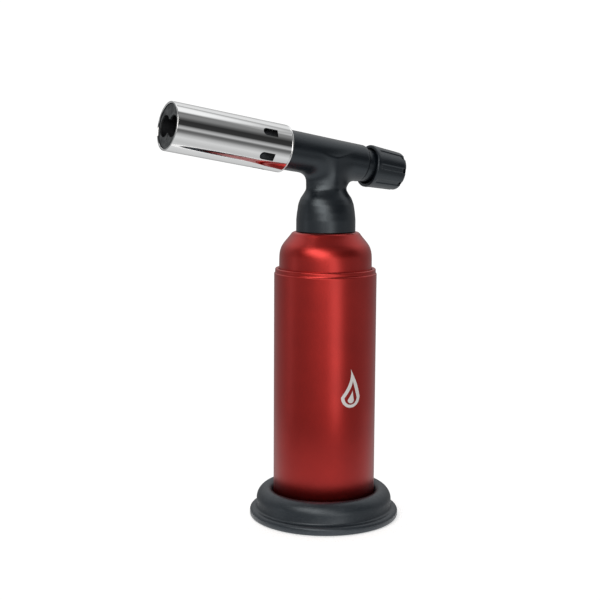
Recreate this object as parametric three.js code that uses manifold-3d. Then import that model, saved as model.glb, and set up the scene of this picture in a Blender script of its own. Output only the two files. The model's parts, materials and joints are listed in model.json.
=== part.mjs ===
// A refillable table-top gas torch. The fuel tank stands in a round rubber foot, inside a metal sleeve.
// The T-shaped head on the tank carries the burner tube in front, and behind it one knob that turns to
// open the gas and is pushed in to make the spark.
// Millimetres, +Z up. The burner points to -X and tilts upward. The origin is at the middle of the
// box's underside, on the surface that the foot stands on.

import * as THREE from "three";
import { mergeVertices } from "three/addons/utils/BufferGeometryUtils.js";
import Module from "manifold-3d";

const wasm = await Module();
wasm.setup();

// Driving dimensions
const SLEEVE_R = 25;
const SLEEVE_WALL = 1.2;
const SLEEVE_TOP = 123.5;
const TANK_R = 22.57;
const TANK_WALL = 1;
const TANK_TOP = 141.2;
const FOOT_R = 36.85;
const FOOT_HEIGHT = 14.6;
const FILL_HOLE_R = 19;
const BELL_R = 14.43;
const AXIS_Z = 176.8; // where the burner's axis crosses the tank's axis
const TILT = 9.87; // degrees that the burner points upward
const BARREL_R = 9.6;
const BARREL_WALL = 1.2;
const BARREL_REAR = -20.5; // places along the burner's axis are counted from the tank's axis
const BARREL_FRONT = 26.7;
const BOSS_R = 8;
const BOSS_REAR = -28.3;
const TUBE_R = 11.3;
const TUBE_BORE_R = 10.4;
const TUBE_REAR = 24.4;
const TUBE_FRONT = 83.84;
const SLOT_COUNT = 6;
const SLOT_START = 33.4;
const SLOT_LENGTH = 6.9;
const SLOT_WIDTH = 3.5;
const PORT_R = 5.1;
const PORT_OFFSET = 4.4;
const KNOB_R = 10.35;
const KNOB_FRONT = -23.5;
const KNOB_REAR = -41;
const KNOB_BORE_R = 8.6;
const GRIP_START = -28.6;
const GRIP_COUNT = 8;
const GRIP_PHASE = 9; // degrees from the top of the knob to the first groove
const STEM_R = 5;
const CHANNEL_R = 1.3;
const SPINDLE_R = 2.1;
const SHAFT_R = 1.9;
const SHAFT_END = -37;
const NEEDLE_R = 1.2;
const ELECTRODE_DROP = 8.6; // the electrode runs this far under the burner's axis
const GAP = 0.3; // between pieces that touch
const SEAM = 0.05; // half the gap between the two head shells

const ROUND = 40;
const INNER_ROUND = 24;
const SMALL_ROUND = 16;

const radians = THREE.MathUtils.degToRad;

const torch = new THREE.Group();
const head = new THREE.Group(); // its own +Z runs along the burner, its own +X to the top of the barrel
head.position.z = AXIS_Z;
head.rotation.y = radians(TILT - 90);
head.updateMatrix();
torch.add(head);

// Materials: each piece has its own copy.
const paint = (color, roughness, metalness) => () =>
  new THREE.MeshStandardMaterial({ color, roughness, metalness });
const redAluminium = paint(0x8c2224, 0.32, 0.85);
const blackPlastic = paint(0x22272a, 0.42, 0);
const rubber = paint(0x41474c, 0.85, 0);
const softRubber = paint(0x1c1c1c, 0.75, 0);
const chrome = paint(0xd6d8da, 0.08, 1);
const brass = paint(0xb8934a, 0.3, 1);
const steel = paint(0x8b8d90, 0.35, 1);
const springSteel = paint(0x9a9c9f, 0.3, 1);
const gunmetal = paint(0x55585c, 0.45, 0.9);
const ceramic = paint(0xece8de, 0.4, 0);
const copper = paint(0xb36b45, 0.35, 1);
const fibre = paint(0xa03c2c, 0.9, 0);
const cotton = paint(0xe9e4d4, 1, 0);
const clearPlastic = paint(0xd9dcd8, 0.35, 0);
const greyPlastic = paint(0xcfcfc8, 0.5, 0);
const silicone = paint(0x7a2a24, 0.6, 0);

function piece(group, name, geometry, material) {
  const mesh = new THREE.Mesh(geometry, material());
  mesh.name = name;
  group.add(mesh);
  return mesh;
}

// Shapes

// A [radius, height] outline turned round +Z: up its outside, and down its inside or along the axis.
function turned(outline, segments = ROUND) {
  const points = outline.map(([r, z]) => new THREE.Vector2(r, z));
  const open = outline[0][0] === 0 && outline.at(-1)[0] === 0;
  if (!open) points.push(points[0].clone());
  return new THREE.LatheGeometry(points, segments).rotateX(Math.PI / 2);
}

// Points of an arc in a [radius, height] outline, between two angles in degrees.
function arc(r, z, radius, from, to, steps) {
  const points = [];
  for (let i = 0; i <= steps; i++) {
    const a = radians(from + ((to - from) * i) / steps);
    points.push([r + radius * Math.cos(a), z + radius * Math.sin(a)]);
  }
  return points;
}

const rod = (r, low, high, segments = SMALL_ROUND) =>
  turned([[0, low], [r, low], [r, high], [0, high]], segments);

const ring = (inner, outer, low, high, segments = INNER_ROUND) =>
  turned([[inner, low], [outer, low], [outer, high], [inner, high]], segments);

// Ellipses [height, half length along X, half length along Y, middle in X], joined from the bottom up.
function lofted(rings, segments = ROUND) {
  const outline = [[0, 0], ...rings.map((_, i) => [1, i]), [0, rings.length - 1]];
  const geometry = turned(outline, segments);
  const position = geometry.getAttribute("position");
  for (let i = 0; i < position.count; i++) {
    const [z, halfX, halfY, middle] = rings[Math.round(position.getZ(i))];
    position.setXYZ(i, middle + halfX * position.getX(i), halfY * position.getY(i), z);
  }
  return geometry;
}

// A flat outline in the XY plane raised between two heights.
function raised(shape, low, high, curveSegments = 12) {
  const settings = { depth: high - low, bevelEnabled: false, curveSegments };
  return new THREE.ExtrudeGeometry(shape, settings).translate(0, 0, low);
}

function block(size, middle) {
  return new THREE.BoxGeometry(...size).translate(...middle);
}

const hexagon = (acrossFlats, low, high) =>
  rod(acrossFlats / Math.sqrt(3), low, high, 6);

// A wire of radius r along a list of [x, y, z] points, as a smooth curve.
function wire(points, r, steps, sides = 8) {
  const path = new THREE.CatmullRomCurve3(points.map((p) => new THREE.Vector3(...p)));
  const section = new THREE.Shape().absarc(0, 0, r, 0, 2 * Math.PI);
  const settings = { extrudePath: path, steps, curveSegments: sides / 2 };
  return new THREE.ExtrudeGeometry(section, settings);
}

class Helix extends THREE.Curve {
  constructor(radius, low, high, turns) {
    super();
    Object.assign(this, { radius, low, high, turns });
  }
  getPoint(t) {
    const a = 2 * Math.PI * this.turns * t;
    const z = this.low + (this.high - this.low) * t;
    return new THREE.Vector3(this.radius * Math.cos(a), this.radius * Math.sin(a), z);
  }
}

// A compression spring between two heights.
function coilSpring(meanR, wireR, low, high, turns, stepsPerTurn = 8) {
  const path = new Helix(meanR, low + wireR, high - wireR, turns);
  const section = new THREE.Shape().absarc(0, 0, wireR, 0, 2 * Math.PI);
  const settings = { extrudePath: path, steps: turns * stepsPerTurn, curveSegments: 3 };
  return new THREE.ExtrudeGeometry(section, settings);
}

// Joins and cuts

function solid(geometry) {
  const bare = geometry.clone();
  bare.deleteAttribute("normal");
  bare.deleteAttribute("uv");
  const merged = mergeVertices(bare, 1e-4);
  const corners = merged.index.array;
  const kept = [];
  for (let i = 0; i < corners.length; i += 3) {
    const [a, b, c] = corners.slice(i, i + 3);
    if (a !== b && b !== c && c !== a) kept.push(a, b, c);
  }
  return new wasm.Manifold(
    new wasm.Mesh({
      numProp: 3,
      vertProperties: merged.attributes.position.array,
      triVerts: new Uint32Array(kept),
    }),
  );
}

function shapeOf(made) {
  const mesh = made.getMesh();
  const geometry = new THREE.BufferGeometry();
  geometry.setAttribute("position", new THREE.BufferAttribute(mesh.vertProperties, 3));
  geometry.setIndex(new THREE.BufferAttribute(mesh.triVerts, 1));
  return geometry;
}

const joined = (...shapes) => shapes.map(solid).reduce((all, next) => all.add(next));
const cut = (body, ...tools) => tools.reduce((left, tool) => left.subtract(solid(tool)), body);
const carved = (shape, ...tools) => shapeOf(cut(solid(shape), ...tools));

// A shape drawn along the burner's axis, carried into the torch's upright frame.
const tilted = (geometry) => geometry.clone().applyMatrix4(head.matrix);

// Foot, sleeve and tank

function baseFoot() {
  const lipR = SLEEVE_R + GAP;
  const humpR = 33.5;
  const crown = 6;
  return turned([
    [FOOT_R - 5.4, 0],
    [FOOT_R - 0.6, 0],
    ...arc(FOOT_R - 1.7, 2.6, 1.7, 0, 75, 2),
    [humpR, 4.5],
    ...arc(humpR - crown, FOOT_HEIGHT - crown, crown, 0, 90, 4),
    [lipR + 0.4, FOOT_HEIGHT],
    [lipR, FOOT_HEIGHT - 0.6],
    [lipR, 3.4],
    [FILL_HOLE_R, 3.4],
    [FILL_HOLE_R, 1.5],
    [FOOT_R - 6, 1.5],
  ]);
}

function tankSleeve() {
  const inner = SLEEVE_R - SLEEVE_WALL;
  return turned([
    [inner, 3.8],
    [SLEEVE_R, 3.8],
    [SLEEVE_R, SLEEVE_TOP - 1.9],
    ...arc(SLEEVE_R - 1, SLEEVE_TOP - 1, 1, 30, 100, 2),
    [TANK_R + GAP, SLEEVE_TOP - 0.5],
    [TANK_R + GAP, SLEEVE_TOP - 1.6],
    [inner, SLEEVE_TOP - 2.4],
  ]);
}

// The shoulder is a quarter of an ellipse from the tank's side to its flat top.
function fuelTank() {
  const shoulderLow = 128;
  const topR = 15.7;
  const holeR = 7.3;
  const shoulder = (inset) => {
    const points = [];
    for (let i = 0; i <= 4; i++) {
      const a = radians(i * 19);
      const r = TANK_R - inset - (TANK_R - topR) * (1 - Math.cos(a));
      points.push([r, shoulderLow + (TANK_TOP - inset - shoulderLow) * Math.sin(a)]);
    }
    return points;
  };
  const inner = shoulder(TANK_WALL).reverse();
  return turned([
    [TANK_R - TANK_WALL, 4.9],
    [TANK_R, 4.9],
    ...shoulder(0),
    [topR - 0.6, TANK_TOP],
    [holeR, TANK_TOP],
    [holeR, TANK_TOP - TANK_WALL],
    ...inner,
  ], 36);
}

const FILL_R = 4.3;

function tankEndPlate() {
  const rim = TANK_R - TANK_WALL - GAP;
  const hole = FILL_R + GAP;
  return turned([
    [hole, 6.5],
    [18, 6.5],
    [rim, 5.3],
    [rim, 6.9],
    [18.4, 8],
    [hole, 8],
  ], INNER_ROUND);
}

// The filling valve opens downward in the middle of the end plate.
function fillValveBody() {
  return turned([
    [1.6, 5],
    [FILL_R, 5],
    [FILL_R, 8.3],
    [FILL_R + 1.7, 8.3],
    [FILL_R + 1.7, 9.8],
    [FILL_R, 9.8],
    [FILL_R, 16.2],
    [1, 16.2],
    [1, 15.1],
    [2.9, 15.1],
    [2.9, 8],
    [1.6, 8],
  ], 16);
}

function fillValveStem() {
  return turned([
    [0, 4.4],
    [1.2, 4.4],
    [1.2, 9.5],
    [2.5, 9.5],
    [2.5, 10.4],
    [1, 10.4],
    [1, 12.4],
    [0, 12.4],
  ], 16);
}

// Valve between the tank and the burner

function tankBushing() {
  const flange = TANK_TOP + GAP;
  return turned([
    [STEM_R + GAP, 136],
    [7, 136],
    [7, flange],
    [9.5, flange],
    [9.5, flange + 1.6],
    [STEM_R + GAP, flange + 1.6],
  ], 28);
}

const CROSS_REAR = -4;
const CROSS_FRONT = 8;
const GLAND_REAR = -8.1;
const NUT_LOW = 144.9;
const NUT_HIGH = 149;

function neckNut() {
  return carved(hexagon(14.6, NUT_LOW, NUT_HIGH), rod(STEM_R + GAP, NUT_LOW - 1, NUT_HIGH + 1, 28));
}

// The upright stem goes down through the nut into the tank, and the cross block lies along the burner.
function valveBlock() {
  const spigotLow = 126;
  const stem = turned([
    [0, spigotLow],
    [2.5, spigotLow],
    [2.5, 130],
    [STEM_R, 130],
    [STEM_R, 151],
    [6.6, 151],
    [6.6, 155],
    [3, 157],
    [3, AXIS_Z - 1],
    [0, AXIS_Z - 1],
  ], 20);
  const cross = tilted(rod(6, CROSS_REAR, CROSS_FRONT, 20));
  const channel = rod(CHANNEL_R, spigotLow - 1, AXIS_Z, 12);
  const chamber = tilted(turned([[0, -5], [2.4, -5], [2.4, 3], [0.8, 4.4], [0.8, 9], [0, 9]], SMALL_ROUND));
  return shapeOf(cut(joined(stem, cross), channel, chamber));
}

function glandNut() {
  const bore = turned([[0, -9], [2.5, -9], [2.5, -6.4], [3.3, -6.4], [3.3, -3], [0, -3]], SMALL_ROUND);
  return carved(hexagon(8.3, GLAND_REAR, CROSS_REAR - GAP), bore);
}

// The spindle holds the needle in its front end. Its rear end is a D-shaped shaft that the knob slides on.
function valveSpindle() {
  const shaftLow = -26;
  const body = turned([
    [0, SHAFT_END],
    [SHAFT_R, SHAFT_END],
    [SHAFT_R, shaftLow],
    [SPINDLE_R, shaftLow],
    [SPINDLE_R, -1.2],
    [NEEDLE_R + GAP, -1.2],
    [NEEDLE_R + GAP, -7],
    [0, -7],
  ], SMALL_ROUND);
  const flat = block([2, 5, 8], [SHAFT_R - 0.6 + 1, 0, SHAFT_END + 3]);
  return carved(body, flat);
}

function valveNeedle() {
  return turned([[0, -6], [NEEDLE_R, -6], [NEEDLE_R, 1], [0.15, 3.7], [0, 3.7]], 16);
}

// Burner

const PIPE_R = 2.6;
const PIPE_FRONT = 38;
const COLLAR_REAR = BARREL_FRONT + GAP;
const COLLAR_FRONT = 32;

function burnerCollar() {
  const outerR = TUBE_BORE_R - GAP;
  const body = turned([
    [PIPE_R + GAP, 20],
    [5.5, 20],
    [5.5, COLLAR_REAR],
    [outerR, COLLAR_REAR],
    [outerR, COLLAR_FRONT],
    [PIPE_R + GAP, COLLAR_FRONT],
  ], 36);
  return carved(body, block([5, 3.2, 7], [-ELECTRODE_DROP, 0, 29.5]));
}

// Air comes in through a ring of slots whose front corners are round.
function burnerTube() {
  const rim = 0.3;
  const body = turned([
    [BARREL_R + GAP, TUBE_REAR],
    [TUBE_R - rim, TUBE_REAR],
    [TUBE_R, TUBE_REAR + rim],
    [TUBE_R, TUBE_FRONT - rim],
    [TUBE_R - rim, TUBE_FRONT],
    [TUBE_BORE_R, TUBE_FRONT],
    [TUBE_BORE_R, TUBE_REAR + 0.9],
    [BARREL_R + GAP, TUBE_REAR + 0.9],
  ]);
  const half = SLOT_WIDTH / 2;
  const outline = new THREE.Shape();
  outline.moveTo(-half, 0);
  outline.lineTo(half, 0);
  outline.lineTo(half, SLOT_LENGTH - half);
  outline.absarc(0, SLOT_LENGTH - half, half, 0, Math.PI);
  const slots = [];
  for (let i = 0; i < SLOT_COUNT; i++) {
    const slot = raised(outline, 8, 13, 4).rotateX(Math.PI / 2).translate(0, 0, SLOT_START);
    slots.push(slot.rotateZ((2 * Math.PI * (i + 0.5)) / SLOT_COUNT));
  }
  return carved(body, ...slots);
}

function gasJet() {
  const rear = PIPE_FRONT + GAP;
  return turned([[0.5, rear], [3.4, rear], [3.4, rear + 3], [2, 44], [0.5, 44]], 16);
}

// A bell mouth, a narrow throat and a widening outlet.
function mixerTube() {
  const wall = 0.8;
  const bore = [[6.6, 46], [4.6, 48.5], [3.6, 52], [3.6, 58], [4.6, 68]];
  const outside = bore.map(([r, z]) => [r + wall, z]);
  return turned([...outside, ...bore.reverse()], 24);
}

function flameHolder() {
  const low = 68.3;
  const high = 70.3;
  const ports = [];
  for (let i = 0; i < 6; i++) {
    const a = Math.PI + (2 * Math.PI * (i + 0.5)) / 6;
    ports.push(rod(1.1, low - 1, high + 1, 8).translate(7 * Math.cos(a), 7 * Math.sin(a), 0));
  }
  const notch = block([3.6, 3.2, 4], [-ELECTRODE_DROP - 0.2, 0, low + 1]);
  return carved(ring(3.4, TUBE_BORE_R - GAP, low, high, 32), ...ports, notch);
}

// Two round flame ports run into each other side by side, over a slit for the spark.
function nozzlePlate() {
  const low = 82.3;
  const slit = 0.25;
  const slitDepth = 9.3;
  const cusp = Math.acos(PORT_OFFSET / PORT_R);
  const plate = new THREE.Shape().absarc(0, 0, TUBE_BORE_R - GAP, 0, 2 * Math.PI);
  const entry = Math.asin((PORT_OFFSET - slit) / PORT_R) + Math.PI / 2;
  const port = new THREE.Path();
  port.moveTo(slit, -slitDepth);
  port.absarc(PORT_OFFSET, 0, PORT_R, -entry, Math.PI - cusp);
  port.absarc(-PORT_OFFSET, 0, PORT_R, cusp, Math.PI + entry);
  port.lineTo(-slit, -slitDepth);
  plate.holes.push(port);
  return raised(plate, low, low + 1, 20).rotateZ(-Math.PI / 2);
}

function sparkElectrode() {
  const under = -ELECTRODE_DROP;
  const route = [[under, 0, 34], [under, 0, 54], [under, 0, 73], [under + 1.2, 0, 77], [-4.6, 0, 79.6]];
  return wire(route, 0.4, 16, 6);
}

// From the piezo cell round the valve block to the electrode's insulator.
function sparkLead() {
  const under = -ELECTRODE_DROP;
  const round = (angle, r, z) => [r * Math.cos(radians(angle)), r * Math.sin(radians(angle)), z];
  const route = [[5.8, 0, -6.1], round(14, 7, -3.2), round(52, 7.2, 1), round(100, 7.2, 6)];
  route.push(round(148, 7.2, 13), [-6.9, 0, 20], [-6.9, 0, 24.5], [under + 0.4, 0, 30], [under, 0, 32.7]);
  return wire(route, 0.8, 28, 6);
}

// Spark maker and push mechanism

const PIEZO_LOW = 2.8;
const PIEZO_HIGH = 6.2;
const PIEZO_REAR = -22.4;
const PIEZO_FRONT = -8.4;

function piezoCase() {
  const height = PIEZO_HIGH - PIEZO_LOW;
  const middle = (PIEZO_HIGH + PIEZO_LOW) / 2;
  const length = PIEZO_FRONT - PIEZO_REAR;
  const body = block([height, 6.8, length], [middle, 0, PIEZO_REAR + length / 2]);
  const terminal = rod(0.5, PIEZO_FRONT - 0.5, PIEZO_FRONT + 2, 10).translate(5.6, 0, 0);
  const pocket = block([2.4, 4.8, 6], [middle, 0, PIEZO_REAR + 2.4]);
  return shapeOf(cut(joined(body, terminal), pocket));
}

const piezoPlunger = () => block([1.8, 4.2, 5], [(PIEZO_HIGH + PIEZO_LOW) / 2, 0, -22.5]);

function pushSleeve() {
  const bore = SPINDLE_R + 0.2;
  return turned([
    [bore, -32.6],
    [4, -32.6],
    [4, -31.2],
    [3.1, -31.2],
    [3.1, -26.8],
    [6.8, -26.8],
    [6.8, -25.3],
    [bore, -25.3],
  ], 20);
}

// Knob: a cup with grip grooves whose middle post takes the shaft

function knobCap() {
  const endWall = KNOB_REAR + 2.3;
  const body = turned([
    [0, KNOB_REAR],
    [8, KNOB_REAR],
    [9.4, KNOB_REAR + 1],
    [10, -29],
    [KNOB_R, KNOB_FRONT - 1.2],
    [KNOB_R - 0.4, KNOB_FRONT],
    [KNOB_BORE_R + 0.5, KNOB_FRONT],
    [KNOB_BORE_R, KNOB_FRONT - 0.6],
    [KNOB_BORE_R, endWall],
    [5.4, endWall],
    [5.4, -30.7],
    [4.3, -30.7],
    [4.3, -33],
    [3.5, -33],
    [3.5, -37.4],
    [2.3, -37.4],
    [2.3, -39.9],
    [0, -39.9],
  ], 32);
  const grooves = [];
  for (let i = 0; i < GRIP_COUNT; i++) {
    const groove = block([1, 1.5, 20], [10, 0, GRIP_START - 10]);
    grooves.push(groove.rotateZ(radians(GRIP_PHASE + (360 * i) / GRIP_COUNT)));
  }
  return carved(body, ...grooves);
}

function knobInsert() {
  const bore = carved(rod(SHAFT_R + 0.2, -39, -32, 16), block([2, 5, 8], [SHAFT_R - 0.6 + 1.2, 0, -36]));
  return carved(rod(3.2, -37.1, -33 - GAP, 24), bore);
}

// Head shells

const SCREWS = [
  { name: "head_screw_front", x: -10.6, z: 151.6, head: 6.4 },
  { name: "head_screw_rear", x: 10.6, z: 151.6, head: 6.4 },
  { name: "head_screw_barrel", x: 12.8, z: 168.5, head: 4.8 },
];
const SCREW_TIP = -4.6;
const SCREW_BOSS_R = 2.8;

// A rod or tool that lies along Y, with heights counted along +Y.
const across = (geometry, { x, z }) => geometry.rotateX(-Math.PI / 2).translate(x, 0, z);

function headOutside() {
  const neckY = 9.3;
  const neck = lofted([
    [TANK_TOP + GAP, BELL_R, BELL_R, 0],
    [147, BELL_R, BELL_R, 0],
    [151, 14.05, 13.95, 0],
    [154.5, 13.5, 13.2, 0],
    [157, 12.7, 12.2, 0],
    [159.4, 11.4, 10.7, 0],
    [162, 10.2, 9.5, 0.1],
    [164, 10.5, neckY, 0.4],
    [166.5, 12, neckY, 0.7],
    [169, 14.2, neckY - 0.3, 0.3],
    [AXIS_Z, 13, neckY - 0.6, 0],
  ], 36);
  const barrel = tilted(turned([
    [0, BOSS_REAR],
    [BOSS_R, BOSS_REAR],
    [BOSS_R, BARREL_REAR],
    ...arc(BARREL_R - 1.9, BARREL_REAR + 1.9, 1.9, -75, 0, 2),
    [BARREL_R, BARREL_FRONT],
    [0, BARREL_FRONT],
  ], 36));
  return joined(neck, barrel);
}

function headInside() {
  const bore = BARREL_R - BARREL_WALL;
  const barrel = tilted(turned([
    [0, BOSS_REAR - 1],
    [6.2, BOSS_REAR - 1],
    [6.2, -27.1],
    [7.2, -27.1],
    [7.2, -19],
    [bore, -18],
    [bore, BARREL_FRONT + 1],
    [0, BARREL_FRONT + 1],
  ], 28));
  const neck = turned([
    [0, TANK_TOP - 1],
    [BELL_R - 1.5, TANK_TOP - 1],
    [BELL_R - 1.6, 149],
    [11.4, 155],
    [9.6, 157.6],
    [4, 157.6],
    [4, 160],
    [8, 160],
    [8, AXIS_Z - 3],
    [0, AXIS_Z - 3],
  ], 28);
  return joined(barrel, neck);
}

// Both halves of the head: hollow, with bosses for the screws that come in from +Y.
function headShells() {
  const outside = headOutside();
  let shell = outside.subtract(headInside());
  for (const screw of SCREWS) {
    const boss = solid(across(rod(SCREW_BOSS_R, -12, 12, 14), screw)).intersect(outside);
    shell = shell.add(boss);
    const hole = across(rod(1.2, SCREW_TIP - 0.5, 20, 12), screw);
    const recess = across(rod(2.2, screw.head - 1.6, 20, 16), screw);
    shell = cut(shell, hole, recess);
  }
  const left = block([100, 40, 100], [0, -20 - SEAM, AXIS_Z - 20]);
  const right = block([100, 40, 100], [0, 20 + SEAM, AXIS_Z - 20]);
  return [left, right].map((side) => shapeOf(shell.intersect(solid(side))));
}

function headScrew(screw) {
  const low = screw.head - 1.3;
  const body = turned([
    [0, SCREW_TIP],
    [0.9, SCREW_TIP],
    [0.9, low],
    [1.9, low],
    [1.7, screw.head],
    [0, screw.head],
  ], 14);
  return across(carved(body, block([2.4, 0.5, 1.4], [0, 0, screw.head])), screw);
}

// Assembly

piece(torch, "base_foot", baseFoot(), rubber);
piece(torch, "tank_sleeve", tankSleeve(), redAluminium);
piece(torch, "fuel_tank", fuelTank(), redAluminium);
piece(torch, "tank_end_plate", tankEndPlate(), steel);
piece(torch, "fill_valve_body", fillValveBody(), brass);
piece(torch, "fill_valve_seal", ring(1.5, 2.7, 8.3, 9.2, SMALL_ROUND), softRubber);
piece(torch, "fill_valve_stem", fillValveStem(), brass);
piece(torch, "fill_valve_spring", coilSpring(1.9, 0.25, 10.7, 14.9, 4), springSteel);
piece(torch, "dip_tube", ring(2.8, 3.3, 18, 129.5, 14), clearPlastic);
piece(torch, "wick", rod(2.4, 17.2, 125.5, 12), cotton);
piece(torch, "tank_bushing", tankBushing(), brass);
piece(torch, "neck_gasket", ring(STEM_R + GAP, 7.6, 143.4, 144.6, 24), fibre);
piece(torch, "neck_nut", neckNut(), brass);
piece(torch, "valve_block", valveBlock(), brass);

piece(head, "gland_nut", glandNut(), brass);
piece(head, "gland_o_ring", new THREE.TorusGeometry(2.78, 0.38, 6, 20).translate(0, 0, -5.4), softRubber);
piece(head, "valve_spindle", valveSpindle(), steel);
piece(head, "valve_needle", valveNeedle(), steel);
piece(head, "gas_pipe", ring(1.2, PIPE_R, CROSS_FRONT + GAP, PIPE_FRONT, SMALL_ROUND), brass);
piece(head, "gas_jet", gasJet(), brass);
piece(head, "burner_collar", burnerCollar(), steel);
piece(head, "burner_tube", burnerTube(), chrome);
piece(head, "mixer_tube", mixerTube(), steel);
piece(head, "flame_holder", flameHolder(), steel);
piece(head, "nozzle_plate", nozzlePlate(), gunmetal);
const insulator = ring(0.7, 1.3, 33, 72, 12).translate(-ELECTRODE_DROP, 0, 0);
piece(head, "electrode_insulator", insulator, ceramic);
piece(head, "spark_electrode", sparkElectrode(), steel);
piece(head, "spark_lead", sparkLead(), silicone);
piece(head, "piezo_case", piezoCase(), greyPlastic);
piece(head, "piezo_plunger", piezoPlunger(), copper);
piece(head, "push_sleeve", pushSleeve(), clearPlastic);
piece(head, "return_spring", coilSpring(2.45, 0.2, -25, GLAND_REAR - GAP, 7), springSteel);
piece(head, "knob_cap", knobCap(), blackPlastic);
piece(head, "knob_insert", knobInsert(), brass);
piece(head, "knob_retainer", ring(3.4, 5.2, -30.4, -29.6, 24), springSteel);

const [leftShell, rightShell] = headShells();
piece(torch, "head_shell_left", leftShell, blackPlastic);
piece(torch, "head_shell_right", rightShell, blackPlastic);
for (const screw of SCREWS) piece(torch, screw.name, headScrew(screw), steel);

// The upright box of the whole torch is centred on the origin.
const middle = new THREE.Box3().setFromObject(torch, true).getCenter(new THREE.Vector3());
torch.position.x = -middle.x;

export default torch;
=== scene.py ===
"""A refillable table-top gas torch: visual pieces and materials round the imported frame.

Lengths in this file are in millimetres and MM turns them into Blender's metres.
"""

import json
import math

import bmesh
import bpy
import numpy as np
from mathutils import Matrix, Quaternion, Vector


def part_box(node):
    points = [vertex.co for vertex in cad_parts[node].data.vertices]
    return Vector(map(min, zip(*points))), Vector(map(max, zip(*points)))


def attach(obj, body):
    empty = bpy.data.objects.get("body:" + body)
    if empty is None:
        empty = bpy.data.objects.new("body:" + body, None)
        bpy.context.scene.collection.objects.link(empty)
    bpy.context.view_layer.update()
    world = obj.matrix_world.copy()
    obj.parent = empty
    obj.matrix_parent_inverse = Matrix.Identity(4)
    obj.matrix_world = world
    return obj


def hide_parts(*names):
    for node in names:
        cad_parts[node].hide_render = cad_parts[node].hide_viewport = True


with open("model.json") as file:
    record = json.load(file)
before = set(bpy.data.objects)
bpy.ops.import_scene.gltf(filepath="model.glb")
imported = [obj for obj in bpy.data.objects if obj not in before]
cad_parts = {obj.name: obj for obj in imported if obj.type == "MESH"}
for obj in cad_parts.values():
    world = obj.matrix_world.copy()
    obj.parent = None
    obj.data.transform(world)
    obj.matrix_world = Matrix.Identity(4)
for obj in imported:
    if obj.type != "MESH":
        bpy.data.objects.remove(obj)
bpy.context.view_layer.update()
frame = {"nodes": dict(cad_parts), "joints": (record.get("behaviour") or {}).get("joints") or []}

MM = 0.001

# ---------------------------------------------------------------- places taken from the frame


def millimetres(node):
    """The two corners of a CAD node's box."""
    low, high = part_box(node)
    return np.array(low) / MM, np.array(high) / MM


def axis_of_joint(name):
    """A point on a joint's axis, and the axis's direction."""
    joint = next(j for j in frame["joints"] if j["name"] == name)
    return np.array(joint["pos_m"]) / MM, np.array(joint["axis"])


SLEEVE_LOW, SLEEVE_HIGH = millimetres("tank_sleeve")
FOOT_LOW, FOOT_HIGH = millimetres("base_foot")
TANK_LOW, TANK_HIGH = millimetres("fuel_tank")
SHELL_LOW = millimetres("head_shell_left")[0]
TANK_X = (SLEEVE_LOW[0] + SLEEVE_HIGH[0]) / 2
SLEEVE_R = (SLEEVE_HIGH[0] - SLEEVE_LOW[0]) / 2
TANK_R = (TANK_HIGH[0] - TANK_LOW[0]) / 2
FOOT_R = (FOOT_HIGH[0] - FOOT_LOW[0]) / 2
BELL_R = -SHELL_LOW[1]

# The burner's axis points to the mouth, and its zero is where it crosses the tank's axis.
KNOB_POINT, KNOB_AXIS = axis_of_joint("gas_knob_turn")
FORWARD = -KNOB_AXIS / np.linalg.norm(KNOB_AXIS)
UPWARD = np.array([FORWARD[2], 0, -FORWARD[0]])
AXIS_ZERO = KNOB_POINT + FORWARD * (TANK_X - KNOB_POINT[0]) / FORWARD[0]

# Sizes along and across the burner's axis, as the CAD model has them
BARREL_R = 9.6
BARREL_REAR = -20.5
BARREL_FRONT = 26.7
BOSS_R = 8.0
BOSS_REAR = -28.3
TUBE_R = 11.3
TUBE_BORE_R = 10.4
TUBE_REAR = 24.4
TUBE_FRONT = 83.84
PLATE_REAR = 82.3
KNOB_R = 10.35
KNOB_FRONT = -23.5
KNOB_REAR = -41.0
SHELL_WALL = 1.2

# Outlines that reach the axis start this far from it.
CENTRE = 0.01


def upright(points):
    """Points [x, y, z] about the tank's axis, in the row frame."""
    return np.asarray(points, float) + [TANK_X, 0, 0]


def along_burner(points):
    """Points [up, side, forward] about the burner's axis, in the row frame."""
    up, side, forward = np.moveaxis(np.asarray(points, float), -1, 0)
    place = AXIS_ZERO + up[..., None] * UPWARD + forward[..., None] * FORWARD
    place[..., 1] += side
    return place


# ---------------------------------------------------------------- mesh helpers


def linked(name, data):
    """A new object in the scene."""
    piece = bpy.data.objects.new(name, data)
    bpy.context.scene.collection.objects.link(piece)
    return piece


def shaded(mesh, sharp_degrees):
    """Smooth shading with sharp edges over an angle."""
    mesh.shade_smooth()
    mesh.set_sharp_from_angle(angle=math.radians(sharp_degrees))


def new_object(name, vertices, faces, sharp_degrees):
    mesh = bpy.data.meshes.new(name)
    mesh.from_pydata((np.asarray(vertices) * MM).tolist(), [], faces)
    mesh.validate()
    mesh.update()
    shaded(mesh, sharp_degrees)
    return linked(name, mesh)


def arc(r, z, radius, start, end, steps=6):
    """Points of a round corner in a [radius, height] outline, between two angles in degrees."""
    angles = np.radians(np.linspace(start, end, steps + 1))
    return [(r + radius * math.cos(a), z + radius * math.sin(a)) for a in angles]


def eased(points, rounds=3):
    """Rounds off an open line of points by cutting its corners, and keeps its two ends."""
    points = np.array(points, float)
    for _ in range(rounds):
        a, b = points[:-1], points[1:]
        inner = np.stack([0.75 * a + 0.25 * b, 0.25 * a + 0.75 * b], axis=1)
        inner = inner.reshape(-1, points.shape[1])
        points = np.vstack([points[:1], inner[1:-1], points[-1:]])
    return [tuple(p) for p in points]


def grid_faces(rows, columns):
    """Quads between neighbouring rows of points. Rows and columns close on themselves."""
    faces = []
    for i in range(rows):
        below, above = i * columns, ((i + 1) % rows) * columns
        for j in range(columns):
            k = (j + 1) % columns
            faces.append((below + j, below + k, above + k, above + j))
    return faces


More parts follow.
